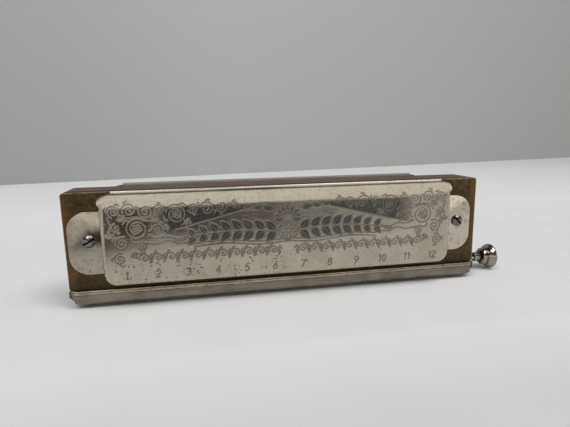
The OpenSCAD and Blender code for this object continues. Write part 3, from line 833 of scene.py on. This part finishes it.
class SheetSide:
    """One side of a cover's sheet: its face, the bend and wall round it, and the hem if asked for.

    A point is (x from the middle, distance from the reed plate, height). edge is the free edge as
    (label, point), and both sides have the same labels."""

    def __init__(self, rows, columns, inset, hem):
        self.rows, self.columns, self.inset = rows, columns, inset
        self.points, self.faces = [], []
        self.grid = [self.face_row(z) for z in rows]
        for low, high in zip(self.grid, self.grid[1:]):
            self.quads(low, high)
        border = self.border()
        self.rings = [self.bend_ring(index, side, z) for _, index, side, z in border]
        for a, b in zip(self.rings, self.rings[1:]):
            both = min(len(a), len(b))
            self.quads(a[:both], b[:both])
        self.edge = self.free_edge([label for label, *_ in border], hem)

    def put(self, x, out, z):
        self.points.append((x, out, z))
        return len(self.points) - 1

    def quads(self, a, b):
        self.faces.extend((a[k], a[k + 1], b[k + 1], b[k]) for k in range(len(a) - 1))

    def face_row(self, z):
        """A row of the face, its ends drawn in or out to where the bend starts."""
        spread = (bend_start(z)[0] - FLAT_X) / (COVER_HALF - BEND - FLAT_X)
        out = face_out(z) - self.inset
        row = []
        for c in self.columns:
            x = c if abs(c) <= FLAT_X else copysign(FLAT_X + (abs(c) - FLAT_X) * spread, c)
            row.append(self.put(x, out, z))
        return row

    def border(self):
        """The face's border, down the left, along the foot and up the right: label, point, side, height."""
        up = list(zip(self.rows, self.grid))
        found = [(("left", z), row[0], -1, z) for z, row in up[::-1]]
        foot = list(zip(self.columns, self.grid[0]))[1:-1]
        found += [(("foot", c), index, 0, self.rows[0]) for c, index in foot]
        found += [(("right", z), row[-1], 1, z) for z, row in up]
        return found

    def bend_ring(self, index, side, z):
        """From a point of the border round the bend and down the wall, or out along a flared ear."""
        start = self.points[index][0]
        normal = bend_start(z)[1] if side else (0, -1.0)
        flat = unbent(z) if side else 0
        droop = EAR_DROOP * sin(pi * min(1, max(0, (z - NECK_Z) / (FACE_TOP_Z - NECK_Z))))
        radius = BEND - self.inset
        wall_top = face_out(z) - BEND
        ring = [index]
        for t in np.linspace(0, 1, BEND_RINGS + 1)[1:]:
            a = pi / 2 * t
            away = (1 - flat) * radius * sin(a) + flat * (BEND + EAR_FLARE) * t
            bent = wall_top + radius * cos(a)
            ear = face_out(z) - self.inset - droop * t * t
            x, height = start + (side or 1) * normal[0] * away, z + normal[1] * away
            ring.append(self.put(x, (1 - flat) * bent + flat * ear, height))
        if flat == 0:
            ring += [self.put(x, wall_top * (1 - k / WALL_RINGS), height) for k in range(1, WALL_RINGS + 1)]
        return ring

    def free_edge(self, labels, hem):
        """Along the foot of the wall, up the right ear, back along the top and down the left ear."""
        full = BEND_RINGS + WALL_RINGS
        walled = [k for k, ring in enumerate(self.rings) if len(ring) > full]
        first, final = walled[0], walled[-1]

        def run(rings, levels):
            return [((labels[k], level), self.rings[k][level]) for k in rings for level in levels]

        edge = run(range(first, final + 1), [full])
        edge += run([final], range(full - 1, BEND_RINGS - 1, -1))
        edge += run(range(final + 1, len(self.rings)), [BEND_RINGS])
        edge += self.back_edge(hem)
        edge += run(range(first), [BEND_RINGS])
        edge += run([first], range(BEND_RINGS, full))
        return edge

    def back_edge(self, hem):
        """The edge along the back, from right to left; the hem's ends have no labels."""
        strip = [(("left ear", k), self.rings[0][k]) for k in range(BEND_RINGS, 0, -1)]
        strip += [(("top", c), index) for c, index in zip(self.columns, self.grid[-1])]
        strip += [(("right ear", k), self.rings[-1][k]) for k in range(1, BEND_RINGS + 1)]
        if not hem:
            return strip[-2:0:-1]
        rows = [[index for _, index in strip]]
        across = [self.points[index][0] for index in rows[0]]
        for out, up in HEM:
            rows.append([self.put(x, BEAD_OUT + out, BEAD_Z + up) for x in across])
            self.quads(rows[-2], rows[-1])
        edge = [(None, row[-1]) for row in rows[1:-1]]
        edge += [(label, index) for (label, _), index in zip(strip[::-1], rows[-1][::-1])]
        edge += [(None, row[0]) for row in rows[-2:0:-1]]
        return edge


def spaced(low, high, step):
    """Even values from low to high, with both."""
    return list(np.linspace(low, high, max(2, int(round((high - low) / step)) + 1)))


def cover_rows():
    """Heights of the rows, round the foot's corner and up the face."""
    r = CORNER - BEND
    centre = FOOT_Z + CORNER
    rows = [centre - r * cos(radians(a)) for a in np.linspace(0, 90, 19)]
    bare = COMB_Z + NUMBER_CLEAR
    above = COMB_Z + ART_TOP + 0.4
    stops = (centre, bare, bare + 1.3, NECK_Z, above, FACE_TOP_Z)
    steps = (COVER_STEP, 0.25, COVER_STEP, COVER_STEP, 0.3)
    for low, high, step in zip(stops, stops[1:], steps):
        rows += spaced(low, high, step)[1:]
    return rows


def thinned(values, keep=()):
    """Every eighth value, with the first, the last and those to keep."""
    last = len(values) - 1
    return [v for k, v in enumerate(values) if k % THINNING == 0 or k == last or v in keep]


def cover_sheet():
    """Points and faces of both sides of the sheet and the strip that joins their free edges.

    Also the number of points on the engraved face, and on its whole side."""
    rows = cover_rows()
    columns = spaced(-(COVER_HALF - BEND), COVER_HALF - BEND, COVER_STEP)
    outer = SheetSide(rows, columns, 0, True)
    inner = SheetSide(thinned(rows, (NECK_Z,)), thinned(columns), SHEET, False)
    points, faces = join((outer.points, outer.faces), (inner.points, inner.faces))
    shift = len(outer.points)
    edge = outer.edge
    place = {label: k for k, (label, _) in enumerate(edge) if label is not None}
    for (label, a), (following, b) in zip(inner.edge, inner.edge[1:] + inner.edge[:1]):
        k, m = place[label], place[following]
        span = range(k, m + 1) if m > k else [*range(k, len(edge)), *range(0, m + 1)]
        faces.append(tuple([edge[i][1] for i in span] + [shift + b, shift + a]))
    return points, faces, len(rows) * len(columns), shift


def rimmed_plate(outline):
    """Points and faces of a flat plate as thick as the sheet, its upper rim rounded."""
    ring = np.array(outline, float)
    ahead, behind = np.roll(ring, -1, 0) - ring, ring - np.roll(ring, 1, 0)
    normal = np.stack([ahead[:, 1] + behind[:, 1], -ahead[:, 0] - behind[:, 0]], 1)
    normal /= np.linalg.norm(normal, axis=1)[:, None]
    levels = [(0, 0), (0, SHEET - TAB_RIM)]
    levels += [(TAB_RIM * (1 - cos(a)), SHEET - TAB_RIM * (1 - sin(a))) for a in np.radians((30, 60, 90))]
    points = [(x, out, z) for away, out in levels for x, z in ring - normal * away]
    return points, skin(len(levels), len(outline))


def tab_parts(side):
    """A screw tab lying on the reed plate, and the fillet where the end wall turns into it."""
    inner, reach = COVER_HALF - 0.3, TAB_HALF - TAB_CORNER
    quarter = np.radians(np.arange(0, 91, 6))
    outline = [(inner, TAB_LOW_Z)]
    outline += [polar(reach, TAB_LOW_Z + TAB_CORNER, TAB_CORNER, a - pi / 2) for a in quarter]
    outline += [polar(reach, TAB_HIGH_Z - TAB_CORNER, TAB_CORNER, a) for a in quarter]
    outline += [(inner, TAB_HIGH_Z)]
    outline = [(side * x, z) for x, z in outline[::side]]
    section = [(inner, SHEET - 0.05), (inner, SHEET + FILLET)]
    section += [polar(COVER_HALF + FILLET, SHEET + FILLET, FILLET, a + pi)
                for a in np.radians(np.arange(0, 91, 15))]
    section += [(COVER_HALF + FILLET, SHEET - 0.05)]
    fillet = [(side * x, out, z) for z in (TAB_LOW_Z + 0.05, TAB_HIGH_Z - 0.05) for x, out in section]
    return [rimmed_plate(outline), (fillet, skin(2, len(section)))]


def cover_layers(x, z, on_face, art, fill):
    """Values from 0 to 1 at each point: cut line, dirt beside it with painted shade along the crease under
    the hem, darkened ground and ruled field.
    """
    height = z - COMB_Z
    away = np.where(on_face, art.at(x, height), FAR)
    line = ease(away, 0.1, -0.06)
    digits, frieze = ease(height, 7.6, 7.2), ease(height, 26, 27)
    dim = ease(x, -18, -36) * ease(height, 14, 19)
    ink_and_crease_shade = np.exp(-((away - 0.03) / 0.11) ** 2) * (0.85 + 0.1 * digits - 0.3 * frieze) * (1 - 0.65 * dim)
    # Painted shade along the crease just under the hem, in the same layer as the dirt beside the cut lines
    ink_and_crease_shade = np.maximum(ink_and_crease_shade, 0.3 * ease(z, FACE_TOP_Z - 0.35, FACE_TOP_Z - 0.1))
    gable = gable_height(x)
    ground = ease(height, gable - 0.1, gable + 0.25) * ease(np.abs(x), 46, 38) * ease(height, 26.6, 26.0)
    filling = ease(np.where(on_face, fill.at(x, height), FAR), 0.06, -0.06)
    ground = np.maximum(ground * ease(height, 15, 17), filling) * (1 - line)
    lined = ease(height, gable + 0.2, gable - 0.3) * ease(np.abs(x), 42, 30) * ease(height, 13.4, 14.4)
    lined = lined * (1 - line)
    return {"line": line, "ink_and_crease_shade": ink_and_crease_shade * on_face, "ground": ground * on_face, "lined": lined * on_face}


def make_cover(name, node, engraving, facing):
    """A pressed sheet cover with its engraving cut into the outer face; facing is -1 front, 1 rear."""
    points, faces, face_count, side_count = cover_sheet()
    sheet_count = len(points)
    points, faces = join((points, faces), *tab_parts(-1), *tab_parts(1))
    x, out, z = np.array(points, float).T.copy()
    on_face = np.arange(len(x)) < face_count
    layers = cover_layers(x, z, on_face, *engraving)
    # Shallow dents in the sheet, always inward, and the cut lines
    dent = np.sin(x / 7.1 + 0.4 * facing) * np.cos(z / 5.3) + np.sin(x / 13.7 + z / 9.1 + 2)
    dent = (0.5 + 0.25 * dent) * ease(COVER_HALF - np.abs(x), 1.4, 6)
    out -= on_face * (DENT_DEPTH * dent + LINE_DEPTH * layers["line"] + GROUND_DEPTH * layers["ground"])
    inside = (z > BEAD_Z - 1) & (out < BEAD_OUT - 0.2)
    inside[side_count:sheet_count] = True
    layers["inside"] = inside
    placed = np.stack([x + COVER_SHIFT, facing * (PLATE_OUT + out), z], 1)
    add_piece(name, placed, faces, "cover_nickel", node, BODY, layers, 38)


make_cover("engraved_front_cover", "front_cover", front_engraving(), -1)
make_cover("engraved_rear_cover", "rear_cover", engraving_layers(), 1)


# ---- turned and slotted pieces

AXIS_R = 0.02
SHANK_R = 1.1
THREAD_START, THREAD_PITCH, THREAD_DEPTH = 4.0, 0.2, 0.14
HEAD_RINGS, HEAD_SPOKES = 30, 96
SLOT_DEPTH = 0.75
# Slant of each head's slot in degrees, by side
SLOT_SLANTS = {-1: 28, 1: -48}
WIRE_R = 0.3
SPRING_TURNS = 2.5


def circle(count):
    """Angles of count points evenly round a circle."""
    return np.linspace(0, 2 * pi, count, False)


def lathe(profile, segments, axis_z):
    """Points and faces of a profile of (x, radius), turned about X at axis_z."""
    points = [(x, r * cos(a), axis_z + r * sin(a)) for x, r in profile for a in circle(segments)]
    return points, skin(len(profile), segments)


def tube(path, radius, sides=10):
    """Points and faces of a round wire along a path, with flat ends."""
    path = np.asarray(path, float)
    points = []
    for k, centre in enumerate(path):
        ahead = path[min(k + 1, len(path) - 1)] - path[max(k - 1, 0)]
        ahead /= np.linalg.norm(ahead)
        normal = np.cross(ahead, (0, 1, 0))
        normal /= np.linalg.norm(normal)
        other = np.cross(ahead, normal)
        points += [tuple(centre + radius * (cos(a) * normal + sin(a) * other)) for a in circle(sides)]
    return points, skin(len(path), sides)


def make_button():
    """The turned knob: stem, bulb, waist, flared cone and rolled rim, as one smooth profile."""
    low, high = corners("slide_button")
    start, long, rim = low.x, high.x - low.x, high.y
    stem, neck, waist = 1.75, 2.75, 4.7
    shape = through([(neck, stem), (2.9, 2.3), (3.3, 2.9), (3.8, 3.3), (4.4, 3.42), (4.8, 3.4), (5.1, 3.5),
                     (5.6, 3.92), (6.15, 4.36), (6.7, rim - 0.14), (7.2, rim - 0.02), (7.55, rim - 0.05),
                     (7.9, rim - 0.3), (8.04, rim - 0.8), (8.15, rim - 1.8), (long - 0.08, 1.4),
                     (long, 0.3)], 0.1)
    profile = [(0, AXIS_R), (0, stem - 0.25), (0.15, stem - 0.02), (1.2, stem)]
    profile += [(min(x, long), min(r, rim)) for x, r in shape] + [(long, AXIS_R)]
    profile = [(start + x, r) for x, r in profile]
    points, faces = lathe(profile, 96, (low.z + high.z) / 2)
    x = np.array(points)[:, 0] - start
    # Darker in the waist and at the neck of the knob
    dirt_and_shade = 0.85 * np.exp(-((x - waist) / 0.42) ** 2) + 0.8 * np.exp(-((x - neck) / 0.25) ** 2)
    add_piece("turned_button", points, faces, "button_nickel", "slide_button", SLIDE_BODY, {"dirt_and_shade": dirt_and_shade})


def screw_head(x, z, radius, base, rise, slant):
    """Points, faces and darkening of a low dome towards -Y, with a slot across it, turned by slant. The
    slot is darkened as painted shade, and the ring at the head's foot as a painted shadow on the tab.
    """
    points, dirt_and_shade = [], []
    for k in range(HEAD_RINGS + 1):
        r = radius * min(1, 0.012 + k / (HEAD_RINGS - 2))
        domed = k < HEAD_RINGS - 1
        crown = rise * (1 - 0.62 * (r / radius) ** 2.2) if domed else 0.35 * rise * (HEAD_RINGS - k)
        least = 0.1 if k < HEAD_RINGS else 0
        for a in circle(HEAD_SPOKES):
            cut = float(ease(abs(r * sin(a - slant)), 0.32, 0.24)) if domed else 0
            across, up = polar(x, z, r, a)
            points.append((across, base - max(crown - SLOT_DEPTH * cut, least), up))
            # Painted shade in the slot, and a painted shadow round the foot of the head
            dirt_and_shade.append(cut if domed else 0.75)
    return points, skin(HEAD_RINGS + 1, HEAD_SPOKES), dirt_and_shade


def screw_shank(x, z, start, end):
    """Points, faces and darkening of a threaded shank along Y, with a chamfered end; every other point is
    darker.
    """
    profile = [(start, AXIS_R), (start, SHANK_R)]
    profile += [(y, SHANK_R - THREAD_DEPTH * (k % 2))
                for k, y in enumerate(np.arange(THREAD_START, end - 0.25, THREAD_PITCH))]
    profile += [(end - 0.15, SHANK_R - 0.12), (end, SHANK_R - 0.4), (end, AXIS_R)]
    turned, faces = lathe(profile, 32, z)
    return [(x + b, a, c) for a, b, c in turned], faces, [0.3 * (k % 2) for k in range(len(turned))]


def make_cover_screws():
    """Two bolts through the whole instrument: domed slotted heads in front, threaded ends behind."""
    low, high = corners("cover_screws")
    middle, radius = (high.z + low.z) / 2, (high.z - low.z) / 2
    base = -PLATE_OUT - SHEET
    parts = []
    for side, slant in SLOT_SLANTS.items():
        x = side * (high.x - radius)
        parts.append(screw_head(x, middle, radius, base, base - low.y, radians(slant)))
        parts.append(screw_shank(x, middle, base - 0.05, high.y))
    points, faces = join(*[part[:2] for part in parts])
    dirt_and_shade = [value for part in parts for value in part[2]]
    add_piece("slotted_cover_screws", points, faces, "screw_steel", "cover_screws", BODY, {"dirt_and_shade": dirt_and_shade})


def make_spring():
    """The hairpin spring: a coil round its pin, and a leg down to its foot at the slide."""
    low, high = corners("slide_spring")
    pin_low, pin_high = corners("spring_pin")
    eye_x, eye_z = (pin_low.x + pin_high.x) / 2, (pin_low.z + pin_high.z) / 2
    coil = high.z - WIRE_R - eye_z
    leg_x, near, far = high.x - WIRE_R, high.y - WIRE_R, low.y + WIRE_R
    leg_z = COMB_Z + 1
    path = [(leg_x, near, low.z), (leg_x, near, COMB_Z - 0.2), (leg_x, near, leg_z)]
    rise = eye_z - 2.2 - COMB_Z
    path += [(leg_x - 0.1 * t, near, leg_z + rise * t) for t in np.linspace(0.1, 0.95, 14)]
    for t in np.linspace(0, 1, 90):
        x, z = polar(eye_x, eye_z, coil, 2 * pi * SPRING_TURNS * t)
        path.append((x, near + (far - near) * t, z))
    path += [(eye_x - coil, far, eye_z - 1.2), (low.x + WIRE_R, far, COMB_Z + 1.6)]
    spring = add_piece("hairpin_spring", *tube(path, WIRE_R), "spring_steel", "slide_spring", None)
    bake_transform(spring)


make_button()
make_cover_screws()
make_spring()


# ---- floor, wall and light

FLOOR_HALF = 2500
WALL_START, WALL_HEADING = Vector((-249, 401, 0)), Vector((891, 156, 0))
WALL_LEFT, WALL_RIGHT, WALL_HIGH = 1800, 2600, 620
CARD_Z = 0.4
CARD_WHITE = (0.79, 0.79, 0.79)


def sheet_of(name, points, material):
    """A flat sheet of the set, from its corners in millimetres."""
    mesh = bpy.data.meshes.new(name)
    mesh.from_pydata([Vector(p) * MM for p in points], [], [tuple(range(len(points)))])
    mesh.materials.append(material)
    item = new_object(name, mesh)
    return item


def matt_paint(name, size, first, *bands):
    """Matt paint, a little clouded; each band is an axis, where it starts and ends, and its new tone."""
    f = Finish(name, Roughness=0.6)
    tone = (first,) * 3
    for axis, low, high, level in bands:
        tone = f.mix(f.span(f.x if axis == "x" else f.y, low, high), tone, (level,) * 3)
    f.feed("Base Color", f.mix(f.span(f.noise(size, 4), 0.3, 0.7, 0.0, 0.06), tone, (0.4, 0.42, 0.45)))
    f.bump(f.noise(1.5), 0.03)
    return f.material


def make_set():
    """The floor and the wall, with painted light: the floor's paint is darker in front and paler under and
    behind the instrument, the wall's paler to the right.
    """
    far = FLOOR_HALF
    # Painted light: darker in front, paler under and behind the instrument
    floor_paint = matt_paint("pale_floor", 40, 0.67, ("y", -85, -40, 0.82), ("y", 0, 180, 0.93))
    sheet_of("floor", [(-far, -far, 0), (far, -far, 0), (far, far, 0), (-far, far, 0)], floor_paint)
    along, up = WALL_HEADING.normalized(), Vector((0, 0, WALL_HIGH))
    a, b = WALL_START - along * WALL_LEFT, WALL_START + along * WALL_RIGHT
    # Painted light: paler to the right
    wall_paint = matt_paint("grey_wall", 260, 0.345, ("x", -260, 60, 0.405))
    sheet_of("backdrop", [a, b, b + up, a + up], wall_paint)


def make_flag():
    """A card lying in front of the set, dark at its left, which only shows in polished metal: a painted
    dark reflection in the covers.
    """
    f = Finish("graded_card", Roughness=0.9, Specular_IOR_Level=0.0)
    shade = f.mix(f.span(f.x, -75, 190), (0.055, 0.036, 0.034), (0.7, 0.7, 0.69))
    shade = f.mix(f.span(f.noise(70), 0.3, 0.7, 0.0, 0.2), shade, (0.05, 0.05, 0.05))
    near = f.plus(f.plus(f.y, f.span(f.x, 10, 150, 0, 50)), f.span(f.x, -45, -80, 0, -30))
    shade = f.mix(f.span(near, -84, -132), CARD_WHITE, shade)
    f.feed("Base Color", f.mix(f.span(f.x, -104, -130), shade, CARD_WHITE))
    corners_xy = ((-600, -900), (400, -900), (230, -45), (-150, -45))
    flag = sheet_of("dark_flag", [(x, y, CARD_Z) for x, y in corners_xy], f.material)
    flag.visible_camera = flag.visible_diffuse = flag.visible_shadow = False


def area_light(name, at, size, power, colour):
    """A soft box that faces the origin."""
    data = bpy.data.lights.new(name, "AREA")
    data.shape = "RECTANGLE"
    data.size, data.size_y = (s * MM for s in size)
    data.energy = power
    data.color = colour
    item = new_object(name, data)
    item.location = Vector(at) * MM
    item.rotation_euler = (-Vector(at)).to_track_quat("-Z", "Y").to_euler()


def make_world():
    """Plain studio air: bright at the horizon and below it, dim overhead."""
    world = bpy.data.worlds.new("studio")
    bpy.context.scene.world = world
    world.use_nodes = True
    tree = world.node_tree
    up = tree.nodes.new("ShaderNodeSeparateXYZ")
    tree.links.new(tree.nodes.new("ShaderNodeTexCoord").outputs["Generated"], up.inputs[0])
    ramp = tree.nodes.new("ShaderNodeValToRGB")
    tree.links.new(up.outputs["Z"], ramp.inputs[0])
    levels = ramp.color_ramp.elements
    levels[0].color = (1.12, 1.1, 1.05, 1)
    levels[1].color = (0.13, 0.13, 0.14, 1)
    for position, level in ((0.18, 1.2), (0.32, 0.16)):
        levels.new(position).color = (level, 0.985 * level, 0.95 * level, 1)
    tree.links.new(ramp.outputs[0], tree.nodes["Background"].inputs["Color"])


make_set()
make_flag()
make_world()
area_light("window", (-420, -560, 1050), (700, 520), 6.4, (1.0, 0.99, 0.97))
area_light("skylight", (350, -330, 1050), (560, 560), 5.5, (0.98, 0.99, 1.0))
bpy.context.scene.view_settings.view_transform = "Standard"
